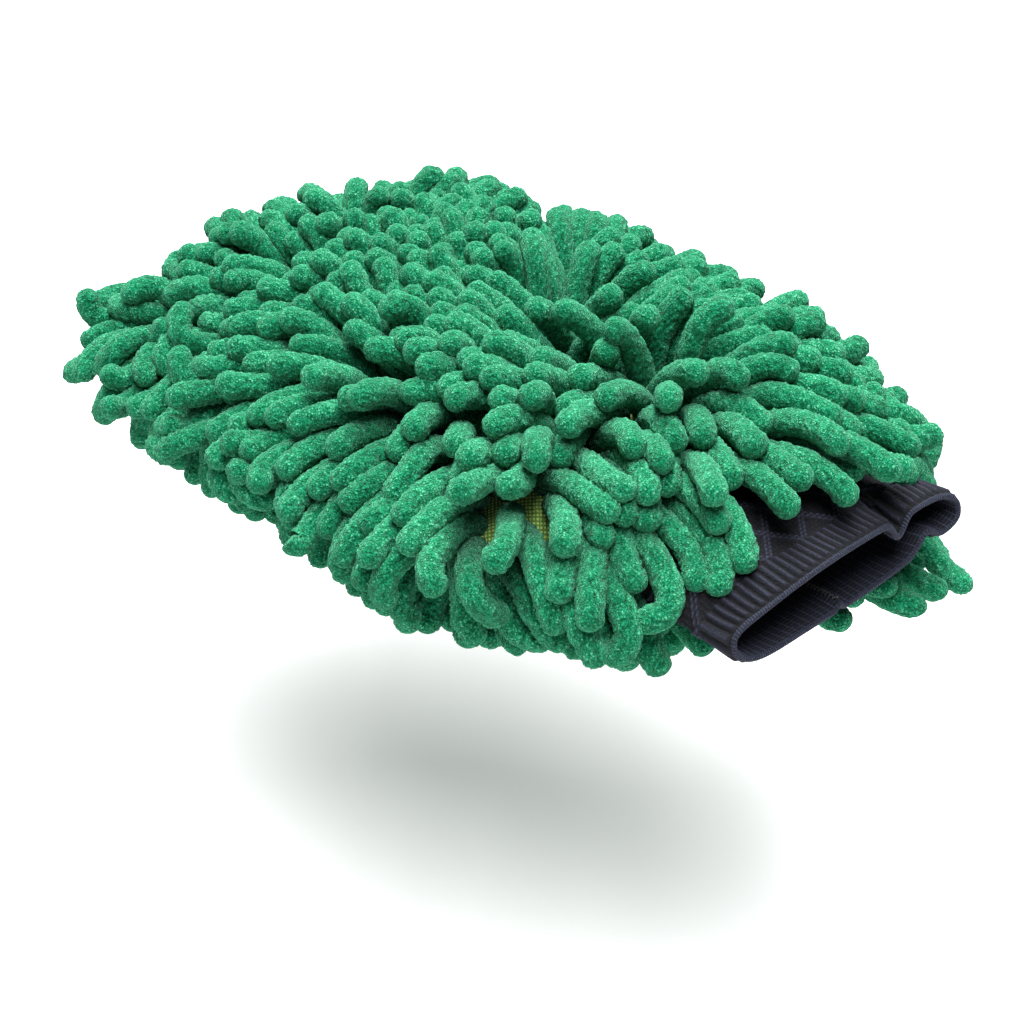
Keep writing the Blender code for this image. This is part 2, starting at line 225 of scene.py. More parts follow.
# ---- studio ----
FLOOR_Z = -0.105
FLOOR_HALF_SIZE = 6.0
FLOOR_ALBEDO = 0.74
FLOOR_GLOW = 0.37  # under the mitt
FLOOR_FADE = (0.25, 0.80)  # from the glow under the mitt to full white
FLOOR_FILL = 0.55  # of the glow lights the mitt
ROOM_LIGHT = 0.12
LIGHT_TARGET = (0.0, 0.0, 0.03)
VIEW_AZIMUTH = math.radians(-133.0)
VIEW_DEPTH = Vector((math.sin(VIEW_AZIMUTH), -math.cos(VIEW_AZIMUTH), 0.0))
VIEW_ELEVATION = math.radians(27.9)
VIEW_ROLL = math.radians(2.1)
VIEW_TARGET = Vector((-0.0305, 0.0238, 0.0142))
VIEW_DISTANCE = 0.5505
VIEW_ANGLE = math.radians(30.0)


# ---- the bag ----
def ease(u):
    u = np.clip(u, 0.0, 1.0)
    return u * u * (3.0 - 2.0 * u)


def unit(vectors):
    """The vectors scaled to length 1 along their last axis."""
    return vectors / np.linalg.norm(vectors, axis=-1, keepdims=True)


def bag_half_width(x):
    """Half the bag's width in plan at x."""
    wide = WRIST_HALF_WIDTH + (BAG_HALF_WIDTH - WRIST_HALF_WIDTH) * ease((x - WRIST_X) / SHOULDER)
    over = np.clip(x - (TIP_X - TIP_CORNER), 0.0, TIP_CORNER)
    return wide - TIP_CORNER + np.sqrt(TIP_CORNER**2 - over**2)


def bag_crown(x, side):
    """Height of the bag's face over the side seam, on the centre line."""
    full = WRIST_CROWN + (CROWN[side] - WRIST_CROWN) * ease((x - WRIST_X) / SHOULDER)
    slope = np.clip((x - (TIP_X - TIP_SLOPE)) / TIP_SLOPE, 0.0, 1.0)
    return full * (1.0 - slope**CROWN_POWER)


def skin_rise(x, y, side):
    """How far the bag's face stands off the seam plane over a place in plan, zero outside the bag."""
    share = np.clip(np.abs(y) / np.maximum(bag_half_width(x), 1e-4), 0.0, 1.0)
    inside = (x > WRIST_X) & (x < TIP_X)
    return np.where(inside, bag_crown(x, side) * (1.0 - share**CROWN_POWER), 0.0)


def bag_normal(x, y, side):
    """The outward normal of the bag's face, from its slope on either side of each place."""
    step = 5e-4
    slope_x = (skin_rise(x + step, y, side) - skin_rise(x - step, y, side)) / (2 * step)
    slope_y = (skin_rise(x, y + step, side) - skin_rise(x, y - step, side)) / (2 * step)
    slope_x, slope_y = (np.clip(slope, -STEEPEST, STEEPEST) for slope in (slope_x, slope_y))
    return unit(np.stack([-slope_x, -slope_y, np.full(len(x), SIGN[side])], 1))


# ---- how the fingers stand ----
def soft_noise(x, y, seed, wave):
    """A smooth random field between about -1 and 1, whose lumps are about wave wide."""
    rng = np.random.default_rng(seed)
    total = np.zeros_like(x)
    for _ in range(7):
        angle, phase = rng.uniform(0, 2 * math.pi, 2)
        k = 2 * math.pi / (wave * rng.uniform(0.8, 1.7))
        total += np.sin(k * (x * math.cos(angle) + y * math.sin(angle)) + phase)
    return total / 2.6  # which keeps nearly all of it between -1 and 1


def fan_lean(x, y, side):
    """The lean of fingers that fan out over the tip and the sides and back over the cuff."""
    tip = np.clip(1.0 - (TIP_X - x) / EDGE_FAN, 0.0, 1.0)
    wrist = np.clip(1.0 - (x - WRIST_X) / WRIST_FAN, 0.0, 1.0)
    edge = np.clip(1.0 - (bag_half_width(x) - np.abs(y)) / EDGE_FAN, 0.0, 1.0)
    outward = np.where(y > 0, *LEAN_OUT[side])
    back = LEAN_BACK[side] + LEAN_BACK_SKEW * y / WRIST_HALF_WIDTH
    step = 0.002
    widening = np.clip((bag_half_width(x + step) - bag_half_width(x - step)) / (2 * step), 0.0, 1.5)
    forward = outward * tip**EDGE_GROWTH - back * wrist**WRIST_GROWTH
    forward = forward - abs(outward) * widening * edge**EDGE_GROWTH
    return forward, outward * np.sign(y) * edge**EDGE_GROWTH


def lean_field(x, y, side):
    """How far fingers lean from the bag's normal, forward and sideways."""
    forward, sideways = fan_lean(x, y, side)
    if side == "top":
        dx, dy = x - WHORL[0], y - WHORL[1]
        away = np.hypot(dx, dy) + 1e-6
        near, everywhere = WHORL_PULL
        pull = near * np.exp(-((away / WHORL_REACH) ** 2)) + everywhere
        pull = pull * np.clip(away / WHORL_CORE, 0.0, 1.0)
        forward = forward + pull * dx / away
        sideways = sideways + pull * dy / away
    forward = forward + LEAN_WANDER * soft_noise(x, y, LEAN_SEED[side], LEAN_WAVE)
    sideways = sideways + LEAN_WANDER * soft_noise(x, y, LEAN_SEED[side] + 1, LEAN_WAVE)
    return forward, sideways


def lean_spread(x, y, side):
    """How fast the lean grows with place, per metre: large where the fingers part from one another."""
    step = 0.003
    along = lean_field(x + step, y, side)[0] - lean_field(x - step, y, side)[0]
    across = lean_field(x, y + step, side)[1] - lean_field(x, y - step, side)[1]
    return (along + across) / (2 * step)


def root_lattice(side):
    """Places in plan of one face's fingers, in staggered lines, with the pile row of each."""
    places, rows = [], []
    for line, x in enumerate(np.linspace(PILE_FIRST, PILE_LAST, LINES * ROWS)):
        reach = float(bag_half_width(x)) - EDGE_MARGIN
        count = round(2 * reach / FINGER_PITCH)
        start = FIRST_ROOT[side] + (0.0 if line % 2 else 0.5)
        more = line % 2 if side == "palm" else 0
        for k in range(count + more):
            share = (k + start) / count * 2.0 - 1.0
            y = reach * np.clip(share + RNG.normal(0, SHARE_SCATTER) / count, -1.0, 1.0)
            places.append((x + RNG.normal(0, LINE_SCATTER), y))
            rows.append(line // LINES)
    x, y = np.array(places).T
    return x, y, np.array(rows)


def with_twins(x, y, rows, side):
    """The places, with a second one beside many of the upright fingers where the pile parts."""
    upright = np.exp(-np.sum(np.square(lean_field(x, y, side)), axis=0) / UPRIGHT)
    parting = np.clip((lean_spread(x, y, side) - SPARSE) / SPARSE, 0.0, MOST_TWINS) * upright
    twin = RNG.uniform(size=len(x)) < parting
    twin_x = x[twin] + RNG.normal(0, TWIN_SCATTER, twin.sum())
    twin_y = y[twin] + RNG.normal(0, TWIN_SCATTER, twin.sum())
    return np.concatenate([x, twin_x]), np.concatenate([y, twin_y]), np.concatenate([rows, rows[twin]])


def finger_ways(x, y, side):
    """Directions of the fingers at their roots."""
    forward, sideways = lean_field(x, y, side)
    way = bag_normal(x, y, side)
    way[:, 0] += forward + RNG.normal(0, LEAN_SCATTER, len(x))
    way[:, 1] += sideways + RNG.normal(0, LEAN_SCATTER, len(x))
    return unit(way)


def finger_lengths(x, y, side):
    """Lengths of the fingers: those over the cuff and past the tip are longer."""
    more, reach = OVER_CUFF
    near_wrist = np.clip(1.0 - (x - WRIST_X) / reach, 0.0, 1.0)
    over_cuff = more * near_wrist * np.where(y > 0, 1.0, OVER_CUFF_RIGHT)
    past_tip = np.where(y > 0, *PAST_TIP) * np.clip(1.0 - (TIP_X - x) / PAST_TIP_REACH, 0.0, 1.0)
    length = FINGER_LENGTH * (RNG.uniform(*LENGTH_SPREAD, len(x)) + over_cuff + past_tip)
    if side == "palm":
        more, reach_x, reach_y = PALM_BEHIND
        behind = np.clip(1.0 - (x - WRIST_X) / reach_x, 0.0, 1.0) * np.clip(-y / reach_y, 0.0, 1.0)
        length = length * (PALM_SHARE + more * behind)
    return length


def plant(side):
    """Roots, directions and lengths of one face's fingers, with the pile row each belongs to."""
    x, y, rows = with_twins(*root_lattice(side), side)
    x = np.clip(x, PILE_FIRST, PILE_LAST)
    reach = bag_half_width(x) - EDGE_MARGIN
    y = np.clip(y, -reach, reach)
    z = SEAM_Z + SIGN[side] * (skin_rise(x, y, side) - ROOT_DEPTH)
    ways = finger_ways(x, y, side)
    return np.stack([x, y, z], 1), ways, finger_lengths(x, y, side), rows


# ---- settling the fingers ----
def bead_pairs(beads, reach, owner):
    """Pairs of beads of different fingers that are nearer than reach."""
    tree = KDTree(len(beads))
    for i, p in enumerate(beads):
        tree.insert(p, i)
    tree.balance()
    first, second = [], []
    for i, p in enumerate(beads):
        for _, j, _ in tree.find_range(p, reach):
            if j > i and owner[j] != owner[i]:
                first.append(i)
                second.append(j)
    return np.array(first), np.array(second)


def bend_towards(beads, ways, seg):
    """Pulls each bead towards the line of the two before it, which is the rod's stiffness."""
    along = ways
    for k in range(1, CHAIN):
        hold = ROOT_STIFFNESS if k == 1 else STIFFNESS
        beads[:, k] += hold * (beads[:, k - 1] + seg * along - beads[:, k])
        along = beads[:, k] - beads[:, k - 1]
        along = along / np.maximum(np.linalg.norm(along, axis=1, keepdims=True), TINY)


def push_apart(points, pairs):
    """Moves crowded beads away from one another."""
    first, second = pairs
    gap = points[first] - points[second]
    far = np.linalg.norm(gap, axis=1)
    push = np.clip(2 * BEAD_RADIUS - far, 0.0, None) / np.maximum(far, 1e-6)
    shove = gap * (0.5 * PUSH * push)[:, None]
    for axis in range(3):
        points[:, axis] += np.bincount(first, shove[:, axis], len(points))
        points[:, axis] -= np.bincount(second, shove[:, axis], len(points))


def hold_off_bag(points, chosen, side):
    """Lifts the chosen beads out of the bag's face."""
    part = points[chosen]
    rise = skin_rise(part[:, 0], part[:, 1], side)
    height = (part[:, 2] - SEAM_Z) * SIGN[side]
    low = (rise > SKIN_EDGE) & (height < rise + SKIN_GAP)
    part[low, 2] = SEAM_Z + SIGN[side] * (rise[low] + SKIN_GAP)
    points[chosen] = part


def cuff_half_sizes(u):
    """Half the width and height of the cuff: u is 0 at the mouth and 1 at the wrist."""
    return CUFF_HALF_WIDTH + CUFF_FLARE * u, CUFF_HALF_HEIGHT + CUFF_FLARE * u


def hold_off_cuff(points):
    """Moves beads out of the cuff's tube."""
    u = np.clip((points[:, 0] - MOUTH_X) / (WRIST_X - MOUTH_X), 0.0, 1.3)
    thick = CUFF_SHEET + KNIT_RELIEF + CUFF_GAP
    wide, high = (size + thick for size in cuff_half_sizes(u))
    loose = 1.0 - ease(u)
    centre = SEAM_Z - CUFF_DROP * loose - points[:, 1] * np.tan(CUFF_SWING * loose)
    near = (points[:, 0] < WRIST_X + CUFF_SLACK) & (points[:, 0] > MOUTH_X - CUFF_GAP)
    dy, dz = points[:, 1] / wide, (points[:, 2] - centre) / high
    inside = near & (np.hypot(dy, dz) < 1.0)
    flat = np.sqrt(np.clip(1.0 - np.minimum(np.abs(dy), 0.995) ** 2, 1e-4, 1.0))
    points[inside, 2] = centre[inside] + (np.where(dz >= 0, 1, -1) * flat * high)[inside]


def hold_in_room(points):
    """Keeps beads over the table and inside the outline of the settled mitt."""
    x = points[:, 0]
    ceiling = SEAM_Z + skin_rise(x, points[:, 1], "top") + PILE_HEIGHT - BEAD_RADIUS
    points[:, 2] -= CEILING_PUSH * np.clip(points[:, 2] - ceiling, 0.0, None)
    lift = PALM_LIFT * (1.0 - ease((x - WRIST_X) / PALM_LIFT_REACH))
    points[:, 2] = np.maximum(points[:, 2], TABLE_GAP + lift)
    room = bag_half_width(x) + DRAW_IN - BEAD_RADIUS + np.clip(points[:, 2] - DRAW_IN_Z, 0.0, None)
    room = np.minimum(room, HALF_WIDTH + SIDE_SPILL - BEAD_RADIUS)
    points[:, 1] = np.clip(points[:, 1], -room, room)
    points[:, 0] = np.minimum(x, FRONT_X + TIP_SPILL - BEAD_RADIUS)


def keep_lengths(beads, seg):
    """Gives every link of the rods its own length again, from the root outwards."""
    for k in range(1, CHAIN):
        link = beads[:, k] - beads[:, k - 1]
        now = np.maximum(np.linalg.norm(link, axis=1, keepdims=True), TINY)
        beads[:, k] = beads[:, k - 1] + link * seg / now


def straighten(beads):
    """Takes tight kinks out of the fingers: each moves most of the way to its own best smooth arc."""
    share = np.linspace(0.0, 1.0, CHAIN)
    basis = np.stack([share, share**2, share**3], 1)
    fit = basis @ np.linalg.pinv(basis)
    arc = beads[:, :1] + np.einsum("ij,njk->nik", fit, beads - beads[:, :1])
    return beads + STRAIGHTEN * (arc - beads)


def settle(roots, ways, lengths, sides):
    """Lets the fingers bend under their weight and rest on one another, the bag and the cuff."""
    count = len(roots)
    seg = (lengths / (CHAIN - 1))[:, None]
    steps = np.arange(CHAIN)[None, :, None]
    beads = roots[:, None, :] + ways[:, None, :] * seg[:, :, None] * steps
    before = beads.copy()
    owner = np.repeat(np.arange(count), CHAIN)
    fixed = np.tile(np.arange(CHAIN) == 0, count)
    top = np.repeat(sides > 0, CHAIN)
    for step in range(STEPS):
        moved = beads + DAMPING * (beads - before)
        before = beads.copy()
        moved[:, 1:, 2] -= GRAVITY
        moved[:, 0] = roots
        bend_towards(moved, ways, seg)
        flat = moved.reshape(-1, 3)
        if step % PAIRS_EVERY == 0:
            pairs = bead_pairs(flat, 2 * BEAD_RADIUS + PAIR_SLACK, owner)
        for _ in range(PUSH_PASSES):
            push_apart(flat, pairs)
        flat[fixed] = roots
        hold_off_bag(flat, top & ~fixed, "top")
        hold_off_bag(flat, ~top & ~fixed, "palm")
        hold_off_cuff(flat)
        hold_in_room(flat)
        beads = flat.reshape(count, CHAIN, 3)
        beads[:, 0] = roots
        keep_lengths(beads, seg)
    return straighten(beads)


# ---- finger meshes ----
def spline(beads, shares):
    """Points of a Catmull-Rom curve through each finger's beads, at shares of its length."""
    start = 2 * beads[:, :1] - beads[:, 1:2]
    end = 2 * beads[:, -1:] - beads[:, -2:-1]
    knots = np.concatenate([start, beads, end], 1)
    place = np.clip(shares, 0.0, 1.0) * (CHAIN - 1)
    k = np.minimum(place.astype(int), CHAIN - 2)
    u = (place - k)[None, :, None]
    a, b, c, d = (knots[:, k + i] for i in range(4))
    square = (2 * a - 5 * b + 4 * c - d) * u**2
    cube = (3 * b - a - 3 * c + d) * u**3
    return 0.5 * (2 * b + (c - a) * u + square + cube)


def smooth_cells(field, passes):
    """Blurs values on the rings and sides of tubes, which wrap round."""
    for _ in range(passes):
        field = 0.5 * field + 0.25 * (np.roll(field, 1, 2) + np.roll(field, -1, 2))
        padded = np.concatenate([field[:, :1], field, field[:, -1:]], 1)
        field = 0.5 * field + 0.25 * (padded[:, :-2] + padded[:, 2:])
    return field


def ring_places(lengths, rings, cap):
    """Where a finger's rings sit, as shares of its length, and how wide they are; cap rings close it."""
    body = np.linspace(0.0, 1.0, rings - cap + 1)
    turn = np.linspace(0.0, math.pi / 2, cap, endpoint=False)[1:]
    cap_share = FINGER_RADIUS / lengths.mean()
    tip = 1 - cap_share + cap_share * np.sin(turn)
    shares = np.concatenate([body * (1 - cap_share), tip, [1.0]])
    bulge = np.concatenate([np.ones(len(body)), np.cos(turn), [0.0]])
    bulge[: len(ROOT_TAPER)] *= ROOT_TAPER
    return shares, bulge


def tube_axes(centres):
    """Two directions across each tube at every ring, carried along it without twist."""
    along = unit(np.gradient(centres, axis=1))
    across = unit(np.cross(along[:, 0], RNG.normal(size=(len(centres), 3))))
    carried = []
    for k in range(centres.shape[1]):
        across = unit(across - along[:, k] * np.sum(across * along[:, k], 1, keepdims=True))
        carried.append(across)
    u = np.stack(carried, 1)
    return u, np.cross(along, u)


def plush_radii(count, bulge, around):
    """The radius at each point of the tubes, and the height of its cut tuft, 0 to 1."""
    rings, knot_count = len(bulge), 5
    tuft = RNG.uniform(size=(count, rings, around))
    swell = smooth_cells(RNG.normal(size=(count, rings, around)), 5)
    knots = RNG.normal(0, RADIUS_SPREAD, (count, knot_count))
    where = np.linspace(0, knot_count - 1, rings)
    low = np.minimum(where.astype(int), knot_count - 2)
    thick = knots[:, low] * (1 - (where - low)) + knots[:, low + 1] * (where - low)
    radius = FINGER_RADIUS * (1 + thick)[:, :, None] * bulge[None, :, None]
    return radius + (TUFT_DEPTH * (tuft - 0.5) + SWELL * swell) * bulge[None, :, None], tuft


def finger_surface(beads, lengths, around, rings, cap):
    """Points of plush tubes, the pole of each tip last, with their tuft heights and shares of the length."""
    count = len(beads)
    shares, bulge = ring_places(lengths, rings, cap)
    centres = spline(beads, shares)
    u, v = tube_axes(centres)
    radius, tuft = plush_radii(count, bulge[:-1], around)
    angle = np.arange(around) * 2 * math.pi / around
    ring = np.cos(angle)[:, None] * u[:, :-1, None] + np.sin(angle)[:, None] * v[:, :-1, None]
    points = centres[:, :-1, None] + ring * radius[..., None]
    flat = np.concatenate([points.reshape(count, -1, 3), centres[:, -1:]], 1)
    tone = np.concatenate([tuft.reshape(count, -1), np.full((count, 1), POLE_TUFT)], 1)
    # The share of the length at each point, from which the shader paints shade towards the root.
    depth = np.concatenate([np.repeat(shares[:-1], around), [1.0]])
    return flat, tone, np.tile(depth, (count, 1))


def tube_faces(count, rings, around):
    """Quads and tip triangles of count equal tubes, numbered one after another."""
    quads = sweep_quads(rings, around, False)
    k = np.arange(around)
    last = (rings - 1) * around
    tris = np.stack([last + k, last + (k + 1) % around, np.full(around, rings * around)], 1)
    stride = rings * around + 1
    shift = (np.arange(count) * stride)[:, None, None]
    return (quads[None] + shift).reshape(-1, 4), (tris[None] + shift).reshape(-1, 3)


# ---- mesh tools ----
def build_mesh(name, points, quads, tris=None, values=None):
    """A smooth-shaded object from arrays, with named per-point values."""
    tris = np.zeros((0, 3), int) if tris is None else tris
    mesh = bpy.data.meshes.new(name)
    mesh.vertices.add(len(points))
    mesh.vertices.foreach_set("co", np.asarray(points, np.float32).ravel())
    mesh.loops.add(quads.size + tris.size)
    corners = np.concatenate([quads.ravel(), tris.ravel()]).astype(np.int32)
    mesh.loops.foreach_set("vertex_index", corners)
    mesh.polygons.add(len(quads) + len(tris))
    starts = np.concatenate([np.arange(len(quads)) * 4, quads.size + np.arange(len(tris)) * 3])
    mesh.polygons.foreach_set("loop_start", starts.astype(np.int32))
    mesh.update(calc_edges=True)
    mesh.validate()
    mesh.shade_smooth()
    for label, data in (values or {}).items():
        layer = mesh.attributes.new(label, "FLOAT", "POINT")
        layer.data.foreach_set("value", np.asarray(data, np.float32).ravel())
    piece = bpy.data.objects.new(name, mesh)
    bpy.context.scene.collection.objects.link(piece)
    return piece


def grid_quads(rows, columns):
    """Faces of an open sheet of rows by columns points."""
    i, j = np.meshgrid(np.arange(rows - 1), np.arange(columns - 1), indexing="ij")
    a = (i * columns + j).ravel()
    return np.stack([a, a + 1, a + 1 + columns, a + columns], 1)


def sweep(path, radius, around, closed, up=(1.0, 0.0, 0.0)):
    """Rings of points round a path; radius is a number or one value for each point of each ring."""
    after = np.roll(path, -1, 0) if closed else np.concatenate([path[1:], 2 * path[-1:] - path[-2:-1]])
    before = np.roll(path, 1, 0) if closed else np.concatenate([2 * path[:1] - path[1:2], path[:-1]])
    along = unit(after - before)
    side = unit(np.asarray(up) - along * (along @ np.asarray(up))[:, None])
    other = np.cross(along, side)
    angle = np.arange(around) * 2 * math.pi / around
    ring = np.cos(angle)[None, :, None] * side[:, None] + np.sin(angle)[None, :, None] * other[:, None]
    return path[:, None] + ring * np.broadcast_to(radius, (len(path), around))[..., None]


def sweep_quads(count, around, closed):
    """Faces of a tube of count rings, whose last ring meets the first when it is closed."""
    last = count if closed else count - 1
    i, j = np.meshgrid(np.arange(last), np.arange(around), indexing="ij")
    a, b = i * around + j, i * around + (j + 1) % around
    c, d = (i + 1) % count * around + (j + 1) % around, (i + 1) % count * around + j
    return np.stack([a, b, c, d], -1).reshape(-1, 4)


def wound(path, closed, reach, pitch):
    """A thread's path that winds round another path like an overlocked edge."""
    step = np.linalg.norm(np.diff(path, axis=0), axis=1)
    run = np.concatenate([[0.0], np.cumsum(step)])
    turns = round(run[-1] / pitch)
    place = np.linspace(0, run[-1], turns * SEAM_TWIST, endpoint=not closed)
    core = np.stack([np.interp(place, run, path[:, k]) for k in range(3)], 1)
    along = unit(np.gradient(core, axis=0))
    other = unit(np.cross(along, (0.0, 0.0, 1.0)))
    third = np.cross(other, along)
    angle = np.arange(len(core)) * 2 * math.pi / SEAM_TWIST
    return core + reach * (np.cos(angle)[:, None] * other + np.sin(angle)[:, None] * third)


# ---- placing the pieces ----
def dress(piece, material, slot, *nodes):
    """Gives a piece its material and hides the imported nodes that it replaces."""
    piece.data.materials.append(material)
    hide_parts(*nodes)


def over_knuckle(piece):
    """Bakes a piece's placement into its mesh."""
    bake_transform(piece)


def over_wrist(piece):
    """Bakes a piece's placement into its mesh."""
    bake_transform(piece)


def over_mouth(piece):
    """Bakes a piece's placement into its mesh."""
    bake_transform(piece)


def hold_row(piece, x):
    """Rows near a joint have their placement baked into the mesh, and the others ride on their half of the
    bag.
    """
    if abs(x - KNUCKLE_X) < 2 * KNUCKLE_BLEND:
        over_knuckle(piece)
    elif x > KNUCKLE_X:
        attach(piece, "finger_section")
    elif x < WRIST_ROWS:
        over_wrist(piece)
    else:
        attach(piece, "hand_section")


# ---- materials ----
def srgb(r, g, b):
    """A colour as the shader wants it, from 0 to 255 values."""

    def channel(v):
        v /= 255
        return v / 12.92 if v <= 0.04045 else ((v + 0.055) / 1.055) ** 2.4

    return (channel(r), channel(g), channel(b), 1.0)


class Shader:
    """A small wrapper that adds nodes and links to one material."""

    def __init__(self, name):
        self.material = bpy.data.materials.new(name)
        self.material.use_nodes = True
        self.nodes = self.material.node_tree.nodes
        self.links = self.material.node_tree.links
        self.base = self.nodes["Principled BSDF"]

    def add(self, kind, inputs=None, **settings):
        node = self.nodes.new(kind)
        for key, value in settings.items():
            setattr(node, key, value)
        for key, value in (inputs or {}).items():
            self.feed(node.inputs[key], value)
        return node

    def feed(self, socket, value):
        if isinstance(value, bpy.types.NodeSocket):
            self.links.new(value, socket)
        else:
            socket.default_value = value

    def set(self, **inputs):
        for key, value in inputs.items():
            self.feed(self.base.inputs[key.replace("_", " ")], value)

    def value(self, name):
        return self.add("ShaderNodeAttribute", attribute_name=name).outputs["Fac"]

    def place(self):
        return self.add("ShaderNodeTexCoord").outputs["Object"]

    def noise(self, scale, detail=2.0, roughness=0.5):
        inputs = {"Vector": self.place(), "Scale": scale, "Detail": detail, "Roughness": roughness}
        return self.add("ShaderNodeTexNoise", inputs).outputs["Fac"]

    def math(self, operation, a, b=0.0, clamp=False):
        node = self.add("ShaderNodeMath", {0: a, 1: b}, operation=operation, use_clamp=clamp)
        return node.outputs["Value"]

    def weighted(self, *terms):
        """A sum of values, each times its weight."""
        total = None
        for value, weight in terms:
            part = self.math("MULTIPLY", value, weight)
            total = part if total is None else self.math("ADD", total, part)
        return total

    def ramp(self, factor, *stops):
        node = self.add("ShaderNodeValToRGB", {"Fac": factor})
        elements = node.color_ramp.elements
        while len(elements) < len(stops):
            elements.new(0.5)
        for element, (position, colour) in zip(elements, stops):
            element.position = position
            element.color = colour
        return node.outputs["Color"]

    def multiply(self, a, b):
        node = self.add("ShaderNodeMix", data_type="RGBA", blend_type="MULTIPLY")
        for index, value in ((0, 1.0), (6, a), (7, b)):  # colour sockets share one name
            self.feed(node.inputs[index], value)
        return node.outputs[2]

    def bump(self, height, strength, distance):
        node = self.add("ShaderNodeBump", {"Height": height, "Strength": strength, "Distance": distance})
        self.set(Normal=node.outputs["Normal"])


def chenille_material():
    """Deep green plush: cut tufts under a millimetre wide, pale at their tips and dark between them, as
    painted highlight and painted shade over the fibres' own random tone.
    """
    s = Shader("chenille_pile")
    tufts = {"Vector": s.place(), "Scale": 1300.0}
    cells = s.add("ShaderNodeTexVoronoi", tufts, feature="DISTANCE_TO_EDGE")
    crest = s.math("MULTIPLY", cells.outputs["Distance"], 3.2, clamp=True)
    fibre = s.noise(scale=1900.0, detail=3.0, roughness=0.6)
    # The tone is pale where the tuft cells, the tuft heights and the fibre noise stand out, as the bump
    # does, and dark in the hollows between them: painted highlight and painted shade. The strand value adds
    # each finger's own random tone.
    tone = s.weighted((crest, 0.14), (fibre, 0.78), (s.value("tuft"), 0.22), (s.value("strand"), 0.05))
    colour = s.ramp(
        tone,
        (0.36, srgb(0, 36, 22)),
        (0.54, srgb(0, 94, 60)),
        (0.69, srgb(26, 136, 94)),
        (0.90, srgb(124, 204, 164)),
    )
    # Painted shade: the colour darkens towards each finger's root, over the lower half of its length, where
    # the crowded fingers shade one another.
    root = s.ramp(s.value("depth"), (0.0, (0.05, 0.14, 0.10, 1.0)), (0.55, (1.0, 1.0, 1.0, 1.0)))
    s.set(Base_Color=s.multiply(colour, root), Roughness=0.95, Specular_IOR_Level=0.05)
    s.set(Sheen_Weight=0.36, Sheen_Roughness=0.45, Sheen_Tint=srgb(160, 244, 204))
    s.bump(s.weighted((crest, 0.4), (fibre, 1.0)), strength=1.0, distance=0.0006)
    return s.material


def backing_material():
    """Yellow-green knit: rows of bright loops set cornerwise over dark gaps."""
    s = Shader("backing_knit")
    turned = s.add("ShaderNodeMapping", {"Vector": s.place(), "Rotation": (0.0, 0.0, math.radians(40))})
    rows = {"Vector": turned.outputs["Vector"], "Scale": 330.0, "Distortion": 0.8}
    bands = [s.add("ShaderNodeTexWave", rows, bands_direction=axis).outputs["Fac"] for axis in "XY"]
    loops = s.math("MULTIPLY", *bands)
    tone = s.weighted((loops, 0.8), (s.noise(1800.0), 0.25))
    colour = s.ramp(
        tone,
        (0.08, srgb(64, 96, 34)),
        (0.32, srgb(122, 160, 62)),
        (0.75, srgb(184, 216, 118)),
    )
    s.set(Base_Color=colour, Roughness=0.8, Sheen_Weight=0.2)
    s.bump(loops, strength=0.8, distance=0.0005)
    return s.material


def knit_material(name, colours, rib_share, scale, sheen):
    """Ribbed yarn: dark to light colours follow the modelled knit's height and a fine stitch over it, as
    painted shade in the grooves and painted highlight on the raised yarn.
    """
    s = Shader(name)
    dark, mid, light = (srgb(*colour) for colour in colours)
    stitch = s.add("ShaderNodeTexVoronoi", {"Vector": s.place(), "Scale": scale, "Randomness": 0.55})
    loops = s.math("SUBTRACT", 1.0, stitch.outputs["Distance"])
    fuzz = s.noise(scale=3200.0, roughness=0.6)
    # Painted highlight and shade: the tone is lighter on raised yarn and stitch loops and darker in the
    # grooves between them, following the relief value and the stitch cells of the bump.
    tone = s.weighted(
        (s.value("relief"), rib_share),
        (loops, 0.95 - rib_share),
        (s.math("SUBTRACT", fuzz, 0.5), 0.25),
    )
    colour = s.ramp(tone, (0.15, dark), (0.60, mid), (1.0, light))
    s.set(Base_Color=colour, Roughness=0.85, Specular_IOR_Level=0.25)
    s.set(Sheen_Weight=sheen, Sheen_Roughness=0.5, Sheen_Tint=srgb(150, 165, 205))
    s.bump(s.weighted((loops, 1.0), (fuzz, 0.3)), strength=0.7, distance=0.0003)
    return s.material


def thread_material(name, dark, light):
    """Twisted sewing thread."""
    s = Shader(name)
    twist = s.add("ShaderNodeTexWave", {"Vector": s.place(), "Scale": 900.0, "Distortion": 1.5})
    colour = s.ramp(twist.outputs["Fac"], (0.1, srgb(*dark)), (0.8, srgb(*light)))
    s.set(Base_Color=colour, Roughness=0.6, Sheen_Weight=0.2)
    s.bump(twist.outputs["Fac"], strength=0.5, distance=0.0001)
    return s.material


# ---- pile ----
def add_row(side, row, material, beads, lengths, strand):
    """One pile row's fingers as one object; strand is a random value for each finger."""
    around, rings, cap = ((34, 50, 9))
    points, tone, depth = finger_surface(beads, lengths, around, rings, cap)
    stride = points.shape[1]
    quads, tris = tube_faces(len(points), (stride - 1) // around, around)
    values = {"tuft": tone, "depth": depth, "strand": np.repeat(strand, stride)}
    label = f"{side}_row_{row + 1:02d}"
    piece = build_mesh(f"chenille_{label}", points.reshape(-1, 3), quads, tris, values)
    dress(piece, material, "chenille_pile", f"pile_{label}")
    hold_row(piece, PILE_FIRST + (row + 0.5) * (PILE_LAST - PILE_FIRST) / ROWS)


